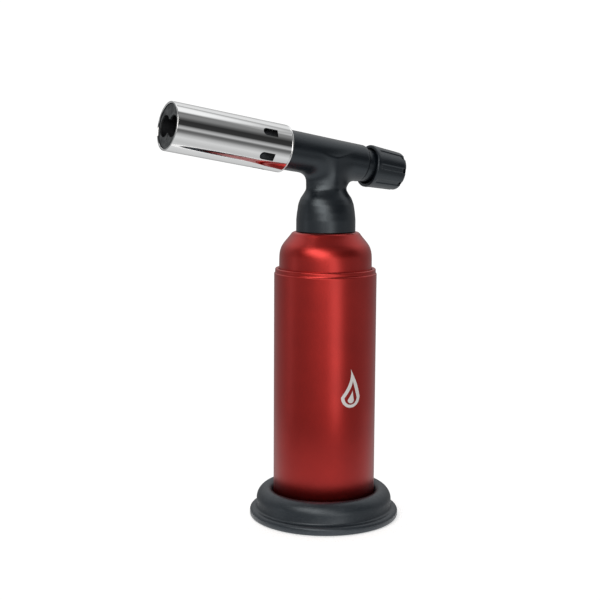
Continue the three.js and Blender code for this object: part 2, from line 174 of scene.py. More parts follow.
def turned(name, outline, place, segments, shape=None, sharp_degrees=40):
    """A closed [radius, height] outline turned round an axis. shape may move the points it is given."""
    outline = np.array(outline)
    angles = np.linspace(0, 2 * math.pi, segments, endpoint=False)
    radius, angle = np.meshgrid(outline[:, 0], angles, indexing="ij")
    height = np.repeat(outline[:, 1][:, None], segments, axis=1)
    if shape:
        radius, height = shape(radius, height, angle)
    points = np.stack([radius * np.cos(angle), radius * np.sin(angle), height], axis=-1)
    faces = grid_faces(len(outline), segments)
    piece = new_object(name, place(points.reshape(-1, 3)), faces, sharp_degrees)
    face_outward(piece)
    return piece


def face_outward(piece):
    """Joins corners that fall together and turns all faces outward."""
    work = bmesh.new()
    work.from_mesh(piece.data)
    bmesh.ops.remove_doubles(work, verts=work.verts, dist=0.001 * MM)
    bmesh.ops.recalc_face_normals(work, faces=work.faces)
    work.to_mesh(piece.data)
    work.free()


def bake(piece, kind, **settings):
    """Applies one modifier to a piece."""
    modifier = piece.modifiers.new(kind.lower(), kind)
    for key, value in settings.items():
        setattr(modifier, key, value)
    graph = bpy.context.evaluated_depsgraph_get()
    mesh = bpy.data.meshes.new_from_object(piece.evaluated_get(graph), depsgraph=graph)
    piece.modifiers.clear()
    piece.data = mesh


def cut_with(piece, cutter, operation="DIFFERENCE"):
    """Combines a piece with a cutter, which is used up. The piece has no materials afterwards."""
    bake(piece, "BOOLEAN", object=cutter, operation=operation, solver="MANIFOLD")
    piece.data.materials.clear()
    piece.data.polygons.foreach_set("material_index", [0] * len(piece.data.polygons))
    bpy.data.objects.remove(cutter)


def without_needles(piece, width):
    """Takes out the needle-thin faces that a cut or a fill leaves."""
    work = bmesh.new()
    work.from_mesh(piece.data)
    bmesh.ops.dissolve_degenerate(work, dist=width * MM, edges=work.edges)
    work.to_mesh(piece.data)
    work.free()


def soften(piece, width, degrees, segments):
    """Rounds off the edges over an angle with a bevel of width millimetres."""
    modifier = piece.modifiers.new("edges", "BEVEL")
    modifier.width = width * MM
    modifier.segments = segments
    modifier.limit_method = "ANGLE"
    modifier.angle_limit = math.radians(degrees)
    modifier.harden_normals = True


# ---------------------------------------------------------------- materials


class Nodes:
    """A short way to build a Principled material out of procedural patterns."""

    def __init__(self, name, **sockets):
        self.material = bpy.data.materials.new(name)
        self.material.use_nodes = True
        self.tree = self.material.node_tree
        self.shader = self.tree.nodes["Principled BSDF"]
        for key, value in sockets.items():
            self.shader.inputs[key.replace("_", " ")].default_value = value
        self.place = self.add("ShaderNodeTexCoord").outputs["Object"]

    def add(self, kind, **inputs):
        node = self.tree.nodes.new(kind)
        for key, value in inputs.items():
            self.feed(node.inputs[key.replace("_", " ")], value)
        return node

    def feed(self, socket, value):
        if isinstance(value, bpy.types.NodeSocket):
            self.tree.links.new(value, socket)
        else:
            socket.default_value = value

    def stretched(self, *scale):
        return self.add("ShaderNodeMapping", Vector=self.place, Scale=scale).outputs["Vector"]

    def noise(self, size, detail=3, vector=None, roughness=0.5):
        """Noise whose grains are about size millimetres wide."""
        node = self.add("ShaderNodeTexNoise", Vector=vector or self.place, Scale=1 / (size * MM))
        node.inputs["Detail"].default_value = detail
        node.inputs["Roughness"].default_value = roughness
        return node.outputs["Fac"]

    def ramp(self, value, *stops):
        """Grey levels or colours at positions from 0 to 1."""
        node = self.add("ShaderNodeValToRGB", Fac=value)
        elements = node.color_ramp.elements
        while len(elements) < len(stops):
            elements.new(0.5)
        for element, (position, colour) in zip(elements, stops):
            element.position = position
            element.color = (*colour, 1) if isinstance(colour, tuple) else (colour,) * 3 + (1,)
        return node.outputs["Color"]

    def math(self, operation, *values):
        node = self.tree.nodes.new("ShaderNodeMath")
        node.operation = operation
        for socket, value in zip(node.inputs, values):
            self.feed(socket, value)
        return node.outputs["Value"]

    def mix(self, factor, first, second):
        node = self.tree.nodes.new("ShaderNodeMix")
        node.data_type = "RGBA"
        colours = [s for s in node.inputs if s.type == "RGBA"]
        self.feed(node.inputs["Factor"], factor)
        for socket, value in zip(colours, (first, second)):
            self.feed(socket, value if isinstance(value, bpy.types.NodeSocket) else (*value, 1))
        return next(s for s in node.outputs if s.type == "RGBA")

    def colour(self, value):
        self.feed(self.shader.inputs["Base Color"], value)

    def roughness(self, value, low, high):
        self.feed(self.shader.inputs["Roughness"], self.ramp(value, (0, low), (1, high)))

    def bump(self, height, depth, below=None):
        """Relief of depth millimetres over the height pattern, on top of an earlier bump."""
        node = self.add("ShaderNodeBump", Height=height, Distance=depth * MM)
        node.inputs["Strength"].default_value = 1
        if below:
            self.feed(node.inputs["Normal"], below)
        self.feed(self.shader.inputs["Normal"], node.outputs["Normal"])
        return node.outputs["Normal"]


def red_metal(name):
    """Nodes of a metallic red lacquer: fine flakes, slightly darker clouds, under a clear coat."""
    n = Nodes(name, Metallic=1.0, Coat_Weight=0.6, Coat_Roughness=0.32)
    flakes = n.noise(0.12, 1)
    clouds = n.noise(14, 2)
    glint = n.ramp(flakes, (0.35, 0.0), (0.65, 1.0))
    base = n.mix(glint, (0.45, 0.017, 0.013), (0.59, 0.025, 0.018))
    n.colour(n.mix(n.ramp(clouds, (0.3, 0.0), (0.7, 0.5)), base, (0.41, 0.014, 0.011)))
    n.roughness(n.noise(6, 4), 0.35, 0.42)
    n.bump(flakes, 0.0035)
    return n


def black_nylon(name):
    """Moulded black plastic with a fine spark-eroded grain and a little dust in it."""
    n = Nodes(name, Specular_IOR_Level=0.75, IOR=1.54, Specular_Tint=(0.82, 0.92, 1.0, 1.0))
    grain = n.noise(0.22, 3)
    dust = n.ramp(n.noise(0.5, 6, roughness=0.75), (0.66, 0.0), (0.74, 0.25))
    n.colour(n.mix(dust, (0.003, 0.005, 0.008), (0.022, 0.026, 0.031)))
    n.roughness(n.noise(5, 3), 0.30, 0.38)
    n.bump(n.noise(7, 2), 0.009, n.bump(grain, 0.003))
    return n.material


def foot_rubber(name):
    """Dark blue-grey rubber: satin, dusty, with the soft waves of a thick moulding."""
    n = Nodes(name, Specular_IOR_Level=0.8, Specular_Tint=(0.85, 0.93, 1.0, 1.0))
    dust = n.ramp(n.noise(1.1, 8, roughness=0.7), (0.5, 0.0), (0.8, 0.45))
    worn = n.ramp(n.noise(16, 3), (0.35, 0.0), (0.7, 1.0))
    base = n.mix(worn, (0.010, 0.014, 0.019), (0.020, 0.026, 0.033))
    n.colour(n.mix(dust, base, (0.066, 0.076, 0.088)))
    n.roughness(n.noise(3, 5), 0.30, 0.50)
    n.bump(n.noise(9, 2), 0.12, n.bump(n.noise(0.35, 4), 0.02))
    return n.material


def chrome(name):
    """Plating over a drawn tube: nearly a mirror, with faint smears and very soft waves."""
    n = Nodes(name, Metallic=1.0)
    smears = n.noise(9, 5, roughness=0.6)
    n.colour(n.mix(smears, (0.80, 0.81, 0.82), (0.88, 0.885, 0.88)))
    n.roughness(smears, 0.02, 0.06)
    n.bump(n.noise(5, 1), 0.004)
    return n.material


def steel(name, tone=(0.50, 0.51, 0.52), rough=(0.25, 0.42)):
    """Turned or drawn steel with fine tool lines."""
    n = Nodes(name, Metallic=1.0)
    lines = n.noise(0.25, 3, n.stretched(1, 0.25, 0.25))
    darker = tuple(c * 0.78 for c in tone)
    n.colour(n.mix(lines, darker, tone))
    n.roughness(n.noise(1.5, 4), *rough)
    n.bump(lines, 0.004)
    return n.material


def heated_steel(name):
    """Steel darkened by heat, with brown patches."""
    n = Nodes(name, Metallic=1.0)
    grey, brown, dark = (0.06, 0.055, 0.05), (0.10, 0.065, 0.04), (0.045, 0.04, 0.045)
    n.colour(n.ramp(n.noise(6, 3), (0.25, grey), (0.5, brown), (0.75, dark)))
    n.roughness(n.noise(0.8, 4), 0.35, 0.6)
    n.bump(n.noise(0.3, 3), 0.01)
    return n.material


def gunmetal(name):
    """Pressed plate darkened by flame, with a dull blotchy skin."""
    n = Nodes(name, Metallic=1.0)
    n.colour(n.ramp(n.noise(2.5, 6), (0.35, (0.085, 0.09, 0.095)), (0.65, (0.20, 0.21, 0.215))))
    n.roughness(n.noise(0.9, 5), 0.34, 0.62)
    n.bump(n.noise(0.4, 4), 0.012)
    return n.material


def brass(name):
    """Turned brass, lightly tarnished."""
    n = Nodes(name, Metallic=1.0)
    tarnish = n.noise(2.2, 5)
    n.colour(n.ramp(tarnish, (0.3, (0.70, 0.47, 0.19)), (0.7, (0.80, 0.58, 0.27))))
    n.roughness(tarnish, 0.2, 0.42)
    n.bump(n.noise(0.2, 2, n.stretched(1, 1, 0.3)), 0.004)
    return n.material


def plain_plastic(name, tone, low, high):
    """One even tone with a faint grain, and roughness from low to high."""
    n = Nodes(name)
    shade = tuple(c * 0.88 for c in tone)
    n.colour(n.mix(n.noise(4, 4), shade, tone))
    n.roughness(n.noise(2, 3), low, high)
    n.bump(n.noise(0.3, 3), 0.004)
    return n.material


def woven_cotton(name):
    """Off-white strands wound closely round."""
    n = Nodes(name)
    wave = n.add("ShaderNodeTexWave", Vector=n.stretched(1, 1, 0.45), Scale=420.0, Distortion=2.5)
    strands = wave.outputs["Fac"]
    n.colour(n.mix(strands, (0.62, 0.58, 0.48), (0.86, 0.83, 0.75)))
    n.roughness(n.noise(0.5, 3), 0.85, 1.0)
    n.bump(strands, 0.08)
    return n.material


def pressed_fibre(name):
    """Red gasket board with visible fibres."""
    n = Nodes(name)
    n.colour(n.mix(n.noise(0.5, 6), (0.24, 0.045, 0.028), (0.42, 0.10, 0.06)))
    n.roughness(n.noise(0.8, 3), 0.7, 0.95)
    n.bump(n.noise(0.3, 4), 0.02)
    return n.material


RED = red_metal("red_metal").material
NYLON = black_nylon("black_nylon")
RUBBER = foot_rubber("foot_rubber")
CHROME = chrome("chrome")
STEEL = steel("steel")
# Near-black steel for the burner collar: painted shade that makes the inside of the tube look dark.
COLLAR_SHADE_STEEL = steel("collar_shade_steel", (0.07, 0.075, 0.085), (0.3, 0.5))
SPRING = steel("spring_wire", (0.44, 0.45, 0.46), (0.2, 0.34))
HOT_STEEL = heated_steel("heated_steel")
GUNMETAL = gunmetal("gunmetal")
BRASS = brass("brass")
DULL_BORE = steel("dull_bore", (0.10, 0.105, 0.115), (0.35, 0.6))
CERAMIC = plain_plastic("alumina", (0.86, 0.84, 0.79), 0.4, 0.6)
SEAL = plain_plastic("seal_rubber", (0.02, 0.02, 0.02), 0.5, 0.75)
SILICONE = plain_plastic("lead_silicone", (0.33, 0.035, 0.025), 0.4, 0.6)
ACETAL = plain_plastic("acetal", (0.80, 0.80, 0.77), 0.3, 0.45)
CELL = plain_plastic("cell_case", (0.70, 0.70, 0.66), 0.35, 0.5)
CLEAR = plain_plastic("dip_tube_plastic", (0.78, 0.80, 0.77), 0.2, 0.35)
COTTON = woven_cotton("cotton")
FIBRE = pressed_fibre("pressed_fibre")

# ---------------------------------------------------------------- foot, sleeve and tank


def foot():
    """Flange and hump, which dips to the lip that grips the sleeve, over a shallow recess."""
    lip = SLEEVE_R + 0.3
    top = FOOT_HIGH[2]
    recess_r = 19
    floor_top = 3.4
    hump_r = 33.5
    crown = 6.2
    outline = [
        (recess_r, 1.5),
        *arc(FOOT_R - 6.3, 1.2, 0.3, 90, 0, 3),
        *arc(FOOT_R - 5.4, 0.5, 0.5, 180, 270, 4),
        *arc(FOOT_R - 1.2, 1.2, 1.2, 270, 360, 6),
        *arc(FOOT_R - 1.7, 2.4, 1.7, 0, 80, 7),
        *arc(34.6, 5.3, 1.15, 265, 190, 6),
        *arc(hump_r - crown, top - crown, crown, 0, 66, 13),
        (28.9, top - 0.32),
        (28.0, top - 0.42),
        (27.2, top - 0.66),
        (26.5, top - 1.05),
        (lip + 0.6, top - 1.5),
        (lip + 0.25, top - 2.0),
        (lip + 0.05, top - 2.7),
        (lip, top - 3.4),
        (lip, 9),
        (lip, floor_top),
        (recess_r + 0.4, floor_top),
        (recess_r, floor_top - 0.4),
    ]

    def uneven(radius, height, angle):
        """Draws the flange and the hump in by about a tenth of a millimetre, in slow waves."""
        wave = np.sin(3 * angle + 0.7) + 0.6 * np.sin(7 * angle + height * 0.3)
        share = np.clip((radius - 27) / 8, 0, 1) * (height > 0.6)
        return radius - (0.06 + 0.05 * wave) * share, height

    piece = turned("foot_rubber_moulding", outline, upright, 192, uneven)
    piece.data.materials.append(RUBBER)
    return piece


def sleeve():
    """Thin tube with its top edge rolled in over the tank."""
    inner = SLEEVE_R - 1.2
    top = SLEEVE_HIGH[2]
    low = SLEEVE_LOW[2]
    outline = [
        (inner, low),
        (SLEEVE_R - 0.2, low),
        (SLEEVE_R, low + 0.2),
        (SLEEVE_R, 60),
        (SLEEVE_R, top - 3.1),
        *arc(SLEEVE_R - 0.35, top - 2.7, 0.35, 0, 80, 4),
        (SLEEVE_R - 0.42, top - 2.2),
        (SLEEVE_R - 0.46, top - 1.6),
        *arc(SLEEVE_R - 1.12, top - 0.7, 0.65, 4, 110, 8),
        (TANK_R + 0.35, top - 0.35),
        (TANK_R + 0.3, top - 1.4),
        (inner, top - 2.6),
    ]
    piece = turned("sleeve_red", outline, upright, 192, None, 50)
    piece.data.materials.append(sleeve_material())
    return piece


MARK_HEIGHT = 64.0


def sleeve_material():
    """The red lacquer with a plain white flame outline printed on the -Y side."""
    n = red_metal("red_metal_printed")
    red = n.shader.inputs["Base Color"].links[0].from_socket
    rough = n.shader.inputs["Roughness"].links[0].from_socket
    place = n.add("ShaderNodeSeparateXYZ", Vector=n.place)
    side = n.math("SUBTRACT", place.outputs["X"], TANK_X * MM)
    angle = n.math("ARCTAN2", side, n.math("MULTIPLY", place.outputs["Y"], -1.0))
    across = n.math("MULTIPLY", angle, SLEEVE_R)
    up = n.math("SUBTRACT", n.math("DIVIDE", place.outputs["Z"], MM), MARK_HEIGHT)

    def drop(radius, tall, lift):
        """Signed distance, below zero inside, to a drop: a circle drawn out to a point at its top."""
        level = n.math("SUBTRACT", up, lift)
        above = n.math("MAXIMUM", level, 0.0)
        narrow = n.math("SUBTRACT", 1.0, n.math("DIVIDE", above, tall))
        waist = n.math("POWER", n.math("MAXIMUM", narrow, 0.0), 1.35)
        lean = n.math("MULTIPLY", n.math("SINE", n.math("DIVIDE", above, 4.2)), 1.1)
        offset = n.math("ABSOLUTE", n.math("SUBTRACT", across, lean))
        below = n.math("MINIMUM", level, 0.0)
        square = n.math("SUBTRACT", radius**2, n.math("POWER", below, 2.0))
        round_part = n.math("SQRT", n.math("MAXIMUM", square, 0.0))
        width = n.math("MINIMUM", round_part, n.math("MULTIPLY", waist, radius))
        return n.math("SUBTRACT", offset, width)

    outer = n.math("LESS_THAN", drop(5.2, 13.5, 0.0), 0.0)
    inner = n.math("LESS_THAN", drop(3.4, 8.2, -0.4), 0.0)
    core = n.math("LESS_THAN", drop(1.7, 4.6, -1.4), 0.0)
    front = n.math("LESS_THAN", place.outputs["Y"], 0.0)
    ring = n.math("ADD", n.math("SUBTRACT", outer, inner), core)
    mark = n.math("MULTIPLY", n.math("MINIMUM", ring, outer), front)
    n.colour(n.mix(mark, red, (0.80, 0.78, 0.77)))
    n.feed(n.shader.inputs["Metallic"], n.math("SUBTRACT", 1.0, mark))
    n.feed(n.shader.inputs["Roughness"], n.mix(mark, rough, (0.5, 0.5, 0.5)))
    return n.material


def tank():
    """Drawn tank whose shoulder comes out of the sleeve, rounds over and runs up in a steep cone."""
    wall = 1.0
    top = TANK_HIGH[2]
    low = TANK_LOW[2]
    shoulder = eased([
        (TANK_R, 122),
        (TANK_R, 129.2),
        (22.2, 132.0),
        (21.2, 134.6),
        (19.3, 137.0),
        (17.5, 139.1),
        (16.0, top),
        (13, top),
    ])
    bore = 7.3
    inside = [(r - wall, z - 0.7 * wall) for r, z in shoulder[-8:0:-6]]
    outline = [
        (TANK_R - wall, low),
        (TANK_R - 0.2, low),
        (TANK_R, low + 0.2),
        (TANK_R, 100),
        *shoulder,
        (bore, top),
        (bore, top - wall),
        *inside,
    ]
    piece = turned("tank_red", outline, upright, 192, None, 50)
    piece.data.materials.append(RED)
    return piece


# ---------------------------------------------------------------- head

# Half widths of the neck: [height, along X, along Y, middle in X]
NECK = np.array([
    (138.0, BELL_R, BELL_R, 0.0),
    (147.0, BELL_R, BELL_R, 0.0),
    (151.0, 14.05, 14.0, 0.0),
    (154.5, 13.5, 13.3, 0.0),
    (157.0, 12.6, 12.3, 0.0),
    (159.4, 11.3, 10.9, 0.0),
    (161.6, 10.4, 9.8, 0.0),
    (163.6, 11.2, 9.8, 0.4),
    (166.0, 11.3, 9.6, 0.5),
    (170.0, 11.3, 9.5, 0.5),
    (176.0, 11.3, 9.2, 0.3),
])

# Over these heights the neck's section changes from a circle to one with a ridge on each side.
RIDGE_LOW = 158.0
RIDGE_HIGH = 163.5
RIDGE_POWER = 1.5

# Width of the hollow corner between neck and barrel
BLEND = 4.5

BARREL_EDGE = 2.1

# The barrel draws in a little from the tube to the knob, most of it underneath.
TAPER_START = 22.0
TAPER_END = -8.0
TAPER = 0.6
TAPER_RISE = 0.45


def neck_distance(points):
    """Distance of points to the neck's surface, below zero inside it.

    The bell is round. Over the waist the section draws in to a soft ridge on each side.
    """
    z = points[:, 2]
    half_x, half_y, middle = (np.interp(z, NECK[:, 0], NECK[:, i]) for i in (1, 2, 3))
    power = np.interp(z, [RIDGE_LOW, RIDGE_HIGH], [2.0, RIDGE_POWER])
    x = np.hypot((points[:, 0] - TANK_X - middle) / half_x, 0.05)
    y = np.hypot(points[:, 1] / half_y, 0.05)
    side = ((x**power + y**power) ** (1 / power) - 1) * np.minimum(half_x, half_y)
    return np.maximum(side, z - NECK[-1, 0])


def barrel_distance(points):
    """Distance to the barrel, whose rear edge is round."""
    local = points - AXIS_ZERO
    along = local @ FORWARD
    share = np.clip((TAPER_START - along) / (TAPER_START - TAPER_END), 0, 1)
    share = share * share * (3 - 2 * share)
    across = np.hypot(local @ UPWARD - TAPER_RISE * share, points[:, 1])
    radius = BARREL_R - TAPER * share
    gap = np.stack([across - (radius - BARREL_EDGE), (BARREL_REAR + BARREL_EDGE) - along])
    outside = np.hypot(*np.maximum(gap, 0))
    return outside + np.minimum(gap.max(axis=0), 0) - BARREL_EDGE


def head_distance(points):
    """The neck and the barrel run into each other with a round hollow corner."""
    a, b = neck_distance(points), barrel_distance(points)
    overlap = np.maximum(BLEND - np.abs(a - b), 0) / BLEND
    return np.minimum(a, b) - overlap**2 * BLEND / 4


def onto_surface(points, distance, rounds=6, reach=0.02):
    """Moves points along the slope of a distance until it is zero."""
    for _ in range(rounds):
        value = distance(points)
        slope = np.zeros_like(points)
        for i in range(3):
            step = np.zeros(3)
            step[i] = reach
            slope[:, i] = (distance(points + step) - distance(points - step)) / (2 * reach)
        slope /= np.maximum((slope**2).sum(axis=1, keepdims=True), 0.2)
        points = points - value[:, None] * slope
    return points


def read_points(mesh):
    """A mesh's vertices in millimetres."""
    flat = np.empty(len(mesh.vertices) * 3, np.float32)
    mesh.vertices.foreach_get("co", flat)
    return flat.reshape(-1, 3).astype(float) / MM


def head_skin():
    """A closed body whose surface is the smooth union of neck and barrel, longer at its open ends."""
    heights = np.linspace(NECK[0, 0], NECK[-1, 0], 24)
    side = [(np.interp(h, NECK[:, 0], NECK[:, 1]), h) for h in heights]
    outline = [(CENTRE, heights[0]), *side, (CENTRE, heights[-1])]
    body = turned("head_body", outline, upright, 64)
    edge = 1.9
    barrel = turned("head_barrel", [
        (CENTRE, BARREL_REAR),
        (BARREL_R - edge, BARREL_REAR),
        *arc(BARREL_R - edge, BARREL_REAR + edge, edge, -60, 0, 3),
        (BARREL_R, BARREL_FRONT + 4),
        (CENTRE, BARREL_FRONT + 4),
    ], along_burner, 64)
    cut_with(body, barrel, "UNION")
    bake(body, "REMESH", mode="VOXEL", voxel_size=0.55 * MM)
    points = read_points(body.data)
    free = (points - AXIS_ZERO) @ FORWARD < BARREL_FRONT + 2
    free &= points[:, 2] > NECK[0, 0] + 1
    points[free] = onto_surface(points[free], head_distance)
    body.data.vertices.foreach_set("co", (points * MM).ravel())
    body.data.update()
    bake(body, "SMOOTH", factor=0.5, iterations=2)
    return body


def slice_off(work, point, normal):
    """Cuts off what lies beyond a plane and leaves the cut open."""
    bmesh.ops.bisect_plane(
        work,
        geom=work.verts[:] + work.edges[:] + work.faces[:],
        plane_co=Vector(np.asarray(point) * MM),
        plane_no=Vector(normal),
        clear_outer=True,
    )


SEAM_GAP = 0.06


def head_half(name, skin, side):
    """One moulded half of the skin, given its wall thickness inward."""
    work = bmesh.new()
    work.from_mesh(skin.data)
    slice_off(work, (0, SEAM_GAP / 2 * side, 0), (0, -side, 0))
    slice_off(work, (0, 0, SHELL_LOW[2]), (0, 0, -1))
    slice_off(work, AXIS_ZERO + FORWARD * BARREL_FRONT, FORWARD)
    slice_off(work, AXIS_ZERO + FORWARD * (BARREL_REAR + 0.15), -FORWARD)
    mesh = bpy.data.meshes.new(name)
    work.to_mesh(mesh)
    work.free()
    mesh.shade_smooth()
    piece = linked(name, mesh)
    bake(piece, "SOLIDIFY", thickness=SHELL_WALL * MM, offset=-1)
    return piece


def guide_boss(side):
    """Half of the short tube behind the barrel that the knob slides over."""
    root = BARREL_REAR + 2.2
    bore, stop_bore, stop = 7.2, 6.2, -27.1
    outline = np.array([
        (bore, root),
        (bore, stop),
        (stop_bore, stop),
        (stop_bore, BOSS_REAR),
        (BOSS_R - 0.4, BOSS_REAR),
        (BOSS_R, BOSS_REAR + 0.4),
        (BOSS_R, root),
    ])
    angles = np.linspace(math.radians(0.3), math.radians(179.7), 48) * side
    points = [(r * math.cos(a), r * math.sin(a), z) for a in angles for r, z in outline]
    count = len(outline)
    faces = []
    for i in range(len(angles) - 1):
        for j in range(count):
            k = (j + 1) % count
            here, there = i * count, (i + 1) * count
            faces.append((here + j, here + k, there + k, there + j))
    last = (len(angles) - 1) * count
    faces.append(tuple(range(count)))
    faces.append(tuple(range(last + count - 1, last - 1, -1)))
    boss = new_object("boss", along_burner(points), faces, 30)
    face_outward(boss)
    return boss


def join_into(piece, other):
    both = [piece, other]
    with bpy.context.temp_override(
        active_object=piece, selected_editable_objects=both, selected_objects=both
    ):
        bpy.ops.object.join()


# Screws that come in from the +Y side: [x from the tank's axis, z, the top of the screw's head in Y]
SCREWS = {
    "head_screw_front": (-10.6, 151.6, 6.4),
    "head_screw_rear": (10.6, 151.6, 6.4),
    "head_screw_barrel": (12.8, 168.5, 4.8),
}


def screw_wells(shell, skin):
    """A boss inside the shell for each screw, and a recess in it for the screw's head."""
    boss_r, shank_r, head_r = 2.8, 1.2, 2.2
    for x, z, head_top in SCREWS.values():
        middle = TANK_X + x
        seat = head_top - 1.6

        def across(points):
            points = np.asarray(points, float)
            return np.stack([middle + points[:, 0], points[:, 2], z + points[:, 1]], axis=1)

        outline = [(CENTRE, SEAM_GAP), (boss_r, SEAM_GAP), (boss_r, 14), (CENTRE, 14)]
        boss = turned("boss", outline, across, 32)
        inside = skin.copy()
        bpy.context.scene.collection.objects.link(inside)
        bake(inside, "DISPLACE", strength=-0.5 * SHELL_WALL * MM, mid_level=0)
        cut_with(boss, inside, "INTERSECT")
        cut_with(shell, boss, "UNION")
        well = turned("well", [
            (CENTRE, -1),
            (shank_r, -1),
            (shank_r, seat),
            (head_r, seat),
            (head_r, 20),
            (CENTRE, 20),
        ], across, 40)
        cut_with(shell, well)


def head():
    skin = head_skin()
    left = head_half("head_left", skin, -1)
    right = head_half("head_right", skin, 1)
    screw_wells(right, skin)
    without_needles(right, 0.001)
    bpy.data.objects.remove(skin)
    for shell, side in ((left, -1), (right, 1)):
        join_into(shell, guide_boss(side))
        shell.data.materials.append(NYLON)
        shaded(shell.data, 42)
    return left, right


# ---------------------------------------------------------------- burner


def burner_tube():
    """Chromed tube, dull inside, with a round bead at its rear, a groove beside it and six air slots."""
    rim = 0.25
    bead = 0.55
    groove = TUBE_REAR + 2 * bead
    collar_r = BARREL_R + 0.3
    lengths = [28, 32.7, 33.2, 36, 38, 40.6, 41.2, 50, 62, 74]
    outline = [
        (collar_r, TUBE_REAR + 0.1),
        *arc(TUBE_R - bead, TUBE_REAR + bead, bead, 260, 405, 12),
        (TUBE_R - 0.16, groove),
        (TUBE_R - 0.12, groove + 0.08),
        (TUBE_R, groove + 0.2),
        (TUBE_R, groove + 0.25),
        *[(TUBE_R, z) for z in lengths],
        (TUBE_R, TUBE_FRONT - rim - 0.04),
        (TUBE_R, TUBE_FRONT - rim),
        *arc(TUBE_R - rim, TUBE_FRONT - rim, rim, 10, 90, 5),
        (TUBE_BORE_R + 0.15, TUBE_FRONT),
        (TUBE_BORE_R, TUBE_FRONT - 0.15),
        *[(TUBE_BORE_R, z) for z in reversed(lengths)],
        (TUBE_BORE_R, TUBE_REAR + 1.2),
        (collar_r, TUBE_REAR + 0.9),
    ]
    tube = turned("burner_tube_chrome", outline, along_burner, 192)
    for i in range(6):
        cut_with(tube, slot_cutter(math.radians(60 * i)))
    without_needles(tube, 0.01)
    shaded(tube.data, 35)
    tube.data.materials.append(CHROME)
    tube.data.materials.append(DULL_BORE)
    dull_end = 83
    for face in tube.data.polygons:
        local = np.array(face.center) / MM - AXIS_ZERO
        inside = np.hypot(local @ UPWARD, local[1]) < TUBE_BORE_R + 0.2
        face.material_index = int(inside and local @ FORWARD < dull_end)
    return tube


def slot_cutter(angle):
    """A radial punch: square at the rear, round at its two front corners."""
    start, length, half, corner = 33.1, 7.5, 1.9, 1.85
    turn = start + length - corner
    profile = [(-half, start), (half, start)]
    profile += arc(half - corner, turn, corner, 0, 90)
    profile += arc(corner - half, turn, corner, 90, 180)
    count = len(profile)
    points = []
    for r in (TUBE_BORE_R - 1.9, TUBE_R + 1.7):
        for side, forward in profile:
            up = r * math.cos(angle) - side * math.sin(angle)
            points.append((up, r * math.sin(angle) + side * math.cos(angle), forward))
    faces = [tuple(range(count)), tuple(range(2 * count - 1, count - 1, -1))]
    faces += [(i, (i + 1) % count, count + (i + 1) % count, count + i) for i in range(count)]
    cutter = new_object("slot", along_burner(points), faces, 30)
    face_outward(cutter)
    return cutter


def port_outline(offset, radius, slit, depth, steps=40):
    """Two round ports run into each other side by side, over a slit: points [up, side].

    offset is each port's distance from the middle, slit is half its width, and depth is how far down
    it goes.
    """
    cusp = math.acos(offset / radius)
    entry = math.asin((offset - slit) / radius) + math.pi / 2
    points = [(-depth, slit)]
    for a in np.linspace(-entry, math.pi - cusp, steps):
        points.append((radius * math.sin(a), offset + radius * math.cos(a)))
    for a in np.linspace(cusp, math.pi + entry, steps):
        points.append((radius * math.sin(a), -offset + radius * math.cos(a)))
    points.append((-depth, -slit))
    return points


def nozzle_plate():
    """Pressed plate with the twin port, its edges slightly rounded."""
    port = port_outline(4.4, 5.1, 0.32, 9.3)
    rim_r = TUBE_BORE_R - 0.12
    angles = np.linspace(0, 2 * math.pi, 96, endpoint=False)
    rim = [(rim_r * math.cos(a), rim_r * math.sin(a)) for a in angles]
    work = bmesh.new()
    loops = []
    for ring in (rim, port):
        points = along_burner([(up, side, PLATE_REAR) for up, side in ring])
        verts = [work.verts.new(Vector(point * MM)) for point in points]
        loops += [work.edges.new((verts[i], verts[(i + 1) % len(verts)])) for i in range(len(verts))]
    bmesh.ops.triangle_fill(work, use_beauty=True, use_dissolve=False, edges=loops)
    wrong = [f for f in work.faces if f.normal.dot(Vector(FORWARD)) < 0]
    bmesh.ops.reverse_faces(work, faces=wrong)
    mesh = bpy.data.meshes.new("nozzle_face")
    work.to_mesh(mesh)
    work.free()
    plate = linked("nozzle_face", mesh)
    bake(plate, "SOLIDIFY", thickness=1.0 * MM, offset=1)
    without_needles(plate, 0.01)
    shaded(plate.data, 40)
    soften(plate, 0.18, 40, 3)
    plate.data.materials.append(GUNMETAL)
    return plate


# ---------------------------------------------------------------- knob


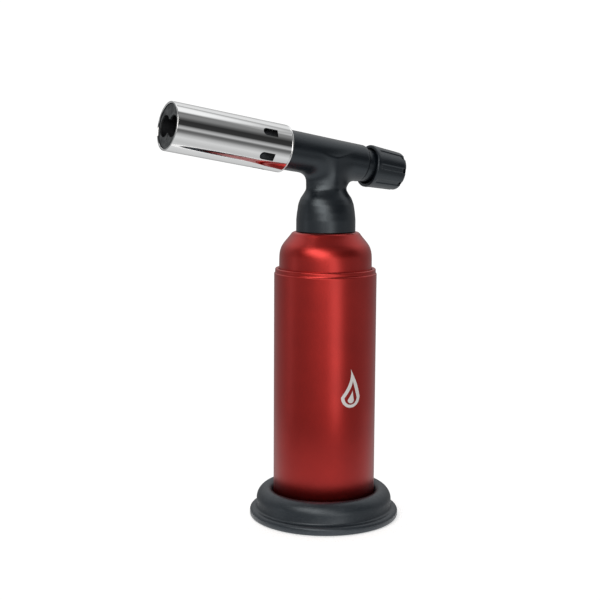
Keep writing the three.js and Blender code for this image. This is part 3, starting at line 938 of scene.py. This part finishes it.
def knob():
    """A cup: plain collar in front, then eight wide grips with narrow grooves between them."""
    grips, phase = 8, math.radians(2)
    end_wall = KNOB_REAR + 2.3
    grip_start = -25.9
    grip_end = KNOB_REAR + 2.2
    body = [(CENTRE, KNOB_REAR), (4, KNOB_REAR), (7.4, KNOB_REAR)]
    body += arc(8.4, KNOB_REAR + 0.9, 0.9, -90, -20, 5)
    body += [(9.45, KNOB_REAR + 1.2)]
    body += [(9.5 + 0.7 * t, KNOB_REAR + 1.5 + 12.6 * t) for t in np.linspace(0, 1, 26)]
    body += [(10.24, grip_start - 0.5), (10.27, grip_start), (10.3, grip_start + 0.5)]
    body += [(KNOB_R, -25), *arc(KNOB_R - 0.5, KNOB_FRONT - 0.5, 0.5, 0, 90, 5), (9.4, KNOB_FRONT)]
    body += [(9.05, KNOB_FRONT - 0.1), (8.6, KNOB_FRONT - 0.8), (8.6, end_wall), (5.4, end_wall)]
    body += [(5.4, -30.7), (4.3, -30.7), (4.3, -33.0), (3.5, -33.0), (3.5, -37.4), (2.3, -37.4)]
    body += [(2.3, -39.9), (CENTRE, -39.9)]

    def gripped(radius, height, angle):
        """Sinks the grooves, which cut through the rear edge, and lets the grips fall off toward them."""
        turn = (angle - phase) * grips / (2 * math.pi)
        off = np.abs(turn - np.round(turn)) * 2 * math.pi / grips * 9.8
        groove = np.clip(1.35 - off, 0, 0.5) / 0.5
        groove = groove * groove * (3 - 2 * groove)
        outer = radius > 8.5
        onto = np.clip((grip_start + 0.3 - height) / 0.6, 0, 1) * outer
        fall = 0.15 * (1 - np.clip(off / 3.85, 0, 1)) ** 2 * (1 - groove)
        notch = 0.75 * groove * np.clip(grip_end - height, 0, 1)
        return radius - onto * (0.5 * groove + fall + notch), height

    piece = turned("knob_ribbed", body, along_burner, 384, gripped, 38)
    piece.data.materials.append(NYLON)
    return piece


# ---------------------------------------------------------------- assembly

# Each visual piece: what makes it, its slot, the CAD nodes it stands for, and its body
STANDS_FOR = [
    (foot, "foot_rubber", ["base_foot"], "torch_body"),
    (sleeve, "red_sleeve", ["tank_sleeve"], "torch_body"),
    (tank, "red_aluminium", ["fuel_tank"], "torch_body"),
    (burner_tube, "chrome_tube", ["burner_tube"], "torch_body"),
    (nozzle_plate, "gunmetal", ["nozzle_plate"], "torch_body"),
    (knob, "knob_plastic", ["knob_cap"], "knob"),
]
for make, slot, nodes, body in STANDS_FOR:
    piece = make()
    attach(piece, body)
    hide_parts(*nodes)

for piece, node in zip(head(), ("head_shell_left", "head_shell_right")):
    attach(piece, "torch_body")
    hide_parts(node)

# CAD nodes that stay: their edges are softened and they get their materials.
KEPT = {
    STEEL: ["head_screw_front", "head_screw_rear", "head_screw_barrel", "tank_end_plate", "valve_spindle",
            "valve_needle"],
    # The collar is coloured near black as painted shade for the dark inside of the tube.
    COLLAR_SHADE_STEEL: ["burner_collar"],
    SPRING: ["fill_valve_spring", "return_spring", "knob_retainer"],
    HOT_STEEL: ["mixer_tube", "flame_holder", "spark_electrode"],
    BRASS: ["fill_valve_body", "fill_valve_stem", "tank_bushing", "neck_nut", "valve_block", "gland_nut",
            "gas_pipe", "gas_jet", "knob_insert", "piezo_plunger"],
    CERAMIC: ["electrode_insulator"],
    SEAL: ["fill_valve_seal", "gland_o_ring"],
    SILICONE: ["spark_lead"],
    ACETAL: ["push_sleeve"],
    CELL: ["piezo_case"],
    CLEAR: ["dip_tube"],
    COTTON: ["wick"],
    FIBRE: ["neck_gasket"],
}


SHARP_DEGREES = 32


def smooth_by_angle():
    """A modifier group that shades smooth and keeps the edges over an angle sharp."""
    group = bpy.data.node_groups.new("smooth_by_angle", "GeometryNodeTree")
    group.interface.new_socket("Geometry", in_out="INPUT", socket_type="NodeSocketGeometry")
    group.interface.new_socket("Geometry", in_out="OUTPUT", socket_type="NodeSocketGeometry")
    kinds = ["NodeGroupInput", "GeometryNodeMergeByDistance", "GeometryNodeSetShadeSmooth",
             "GeometryNodeSetShadeSmooth", "NodeGroupOutput", "GeometryNodeInputMeshEdgeAngle",
             "FunctionNodeCompare"]
    start, weld, faces, edges, end, angle, compare = (group.nodes.new(kind) for kind in kinds)
    weld.inputs["Distance"].default_value = 1e-6
    edges.domain = "EDGE"
    compare.operation = "GREATER_THAN"
    compare.inputs["B"].default_value = math.radians(SHARP_DEGREES)
    edges.inputs["Shade Smooth"].default_value = False
    link = group.links.new
    link(start.outputs["Geometry"], weld.inputs["Geometry"])
    link(weld.outputs["Geometry"], faces.inputs["Geometry"])
    link(faces.outputs["Geometry"], edges.inputs["Geometry"])
    link(edges.outputs["Geometry"], end.inputs["Geometry"])
    link(angle.outputs["Unsigned Angle"], compare.inputs["A"])
    link(compare.outputs["Result"], edges.inputs["Selection"])
    return group


SMOOTHING = smooth_by_angle()
for material, nodes in KEPT.items():
    for name in nodes:
        node = frame["nodes"][name]
        node.data.materials.clear()
        node.data.materials.append(material)
        node.modifiers.new("smoothing", "NODES").node_group = SMOOTHING
        soften(node, 0.08, SHARP_DEGREES, 2)

# ---------------------------------------------------------------- camera, floor and light

# The camera's place round the tank's axis, and where it looks, fitted to the photograph
CAMERA_DISTANCE = 587.31
CAMERA_HEIGHT = 186.09
CAMERA_SIDE = math.radians(-30.38)
CAMERA_HEADING = math.radians(29.18)
CAMERA_PITCH = math.radians(7.622)
CAMERA_ROLL = math.radians(0.325)
CAMERA_LENS = 72.64


def place_camera():
    heading, level = CAMERA_HEADING, math.cos(CAMERA_PITCH)
    ahead = Vector((math.sin(heading) * level, math.cos(heading) * level, -math.sin(CAMERA_PITCH)))
    right = Vector((math.cos(heading), -math.sin(heading), 0))
    up = right.cross(ahead)
    turn = Matrix((right, up, -ahead)).transposed().to_4x4() @ Matrix.Rotation(CAMERA_ROLL, 4, "Z")
    data = bpy.data.cameras.new("camera")
    data.lens = CAMERA_LENS
    data.sensor_width = 36
    data.clip_start = 0.02
    data.clip_end = 50
    camera = linked("camera", data)
    x = TANK_X + CAMERA_DISTANCE * math.sin(CAMERA_SIDE)
    y = -CAMERA_DISTANCE * math.cos(CAMERA_SIDE)
    camera.matrix_world = Matrix.Translation(Vector((x, y, CAMERA_HEIGHT)) * MM) @ turn
    bpy.context.scene.camera = camera


FLOOR_R = 44.0
FLOOR_DROP = 0.2
FLOOR_GLOW = 0.5


def floor():
    """A white disc, a little wider than the foot, for the foot's soft shadow."""
    mesh = bpy.data.meshes.new("floor")
    work = bmesh.new()
    bmesh.ops.create_circle(work, cap_ends=True, segments=96, radius=FLOOR_R * MM)
    work.to_mesh(mesh)
    work.free()
    ground = linked("floor", mesh)
    ground.location = (TANK_X * MM, 0, -FLOOR_DROP * MM)
    n = Nodes("floor_white", Roughness=0.9, Emission_Color=(1, 1, 1, 1), Emission_Strength=FLOOR_GLOW)
    n.colour(n.mix(n.noise(60, 2), (0.93, 0.93, 0.93), (0.96, 0.96, 0.96)))
    mesh.materials.append(n.material)


LIGHT_DISTANCE = 1.0
LIGHT_AIM_HEIGHT = 120
WARM = (1.0, 0.97, 0.93)
WHITE = (1.0, 1.0, 1.0)

# Softboxes: name, azimuth, elevation, roll, colour, width and height in metres, radiance
SOFTBOXES = [
    ("key_high", -20, 28, -30, WARM, 1.05, 0.52, 3.2),
    ("key_low", 20, -3, 35, WARM, 0.32, 0.70, 1.7),
    ("strip_left", -82, 0, 0, WHITE, 0.20, 0.80, 0.35),
]


def softbox(name, azimuth, elevation, roll, colour, width, height, radiance):
    """An area light aimed at the object. Azimuth is counted to the right from the camera's side."""
    side = CAMERA_SIDE + math.radians(azimuth)
    rise = math.radians(elevation)
    back = Vector((math.sin(side) * math.cos(rise), -math.cos(side) * math.cos(rise), math.sin(rise)))
    data = bpy.data.lights.new(name, "AREA")
    data.shape = "RECTANGLE"
    data.size = width
    data.size_y = height
    data.energy = math.pi * radiance * width * height
    data.color = colour
    light = linked(name, data)
    light.location = Vector((TANK_X, 0, LIGHT_AIM_HEIGHT)) * MM + back * LIGHT_DISTANCE
    light.rotation_mode = "QUATERNION"
    aim = (-back).to_track_quat("-Z", "Y")
    light.rotation_quaternion = aim @ Quaternion((0, 0, 1), math.radians(roll))


# Brightness of the studio by elevation in degrees, on the camera's side and behind the object
STUDIO_FRONT = [
    (-90, 0.70), (-65, 0.60), (-45, 0.74), (-31, 0.48), (-23, 0.22), (-15, 0.12), (-11, 0.22), (-6, 0.55),
    (0, 0.42), (4, 0.24), (8, 0.04), (25, 0.03), (33, 0.12), (40, 0.24), (47, 0.26), (56, 0.10), (90, 0.16),
]
STUDIO_BACK = [
    (-90, 0.80), (-60, 0.70), (-40, 0.66), (-20, 0.42), (-5, 0.26), (10, 0.32), (25, 0.60), (38, 0.85),
    (47, 0.85), (51, 0.40), (55, 1.00), (70, 1.25), (90, 1.25),
]


# The two sides run into each other between these values of the cosine to straight behind.
SIDES_MEET = (-0.04, 0.14)

BACKDROP = 1.05


def levels(tree, value, stops):
    """Grey levels at elevations in degrees, for a direction's height from -1 to 1."""
    ramp = tree.nodes.new("ShaderNodeValToRGB")
    rescale = tree.nodes.new("ShaderNodeMapRange")
    rescale.inputs["From Min"].default_value = -1
    tree.links.new(value, rescale.inputs["Value"])
    tree.links.new(rescale.outputs["Result"], ramp.inputs["Fac"])
    elements = ramp.color_ramp.elements
    while len(elements) < len(stops):
        elements.new(0.5)
    for element, (elevation, level) in zip(elements, stops):
        element.position = (math.sin(math.radians(elevation)) + 1) / 2
        element.color = (level, level, level, 1)
    return ramp.outputs["Color"]


def studio():
    """White to the camera. To everything else, a white table and back wall and a darker room in front."""
    world = bpy.data.worlds.new("studio")
    bpy.context.scene.world = world
    world.use_nodes = True
    tree = world.node_tree
    tree.nodes.clear()
    make = tree.nodes.new
    link = tree.links.new
    direction = make("ShaderNodeTexCoord").outputs["Generated"]
    split = make("ShaderNodeSeparateXYZ")
    link(direction, split.inputs[0])
    height = split.outputs["Z"]
    behind = make("ShaderNodeVectorMath")
    behind.operation = "DOT_PRODUCT"
    behind.inputs[1].default_value = (-math.sin(CAMERA_SIDE), math.cos(CAMERA_SIDE), 0)
    link(direction, behind.inputs[0])
    share = make("ShaderNodeMapRange")
    share.interpolation_type = "SMOOTHSTEP"
    share.inputs["From Min"].default_value = SIDES_MEET[0]
    share.inputs["From Max"].default_value = SIDES_MEET[1]
    link(behind.outputs["Value"], share.inputs["Value"])
    blend = make("ShaderNodeMix")
    blend.data_type = "RGBA"
    colours = [s for s in blend.inputs if s.type == "RGBA"]
    link(share.outputs["Result"], blend.inputs["Factor"])
    link(levels(tree, height, STUDIO_FRONT), colours[0])
    link(levels(tree, height, STUDIO_BACK), colours[1])
    room = make("ShaderNodeBackground")
    seen = make("ShaderNodeBackground")
    link(next(s for s in blend.outputs if s.type == "RGBA"), room.inputs["Color"])
    seen.inputs["Color"].default_value = (1, 1, 1, 1)
    seen.inputs["Strength"].default_value = BACKDROP
    ray = make("ShaderNodeLightPath")
    mixed = make("ShaderNodeMixShader")
    out = make("ShaderNodeOutputWorld")
    link(ray.outputs["Is Camera Ray"], mixed.inputs["Fac"])
    link(room.outputs[0], mixed.inputs[1])
    link(seen.outputs[0], mixed.inputs[2])
    link(mixed.outputs[0], out.inputs["Surface"])


place_camera()
floor()
studio()
for row in SOFTBOXES:
    softbox(*row)
bpy.context.scene.view_settings.view_transform = "Standard"
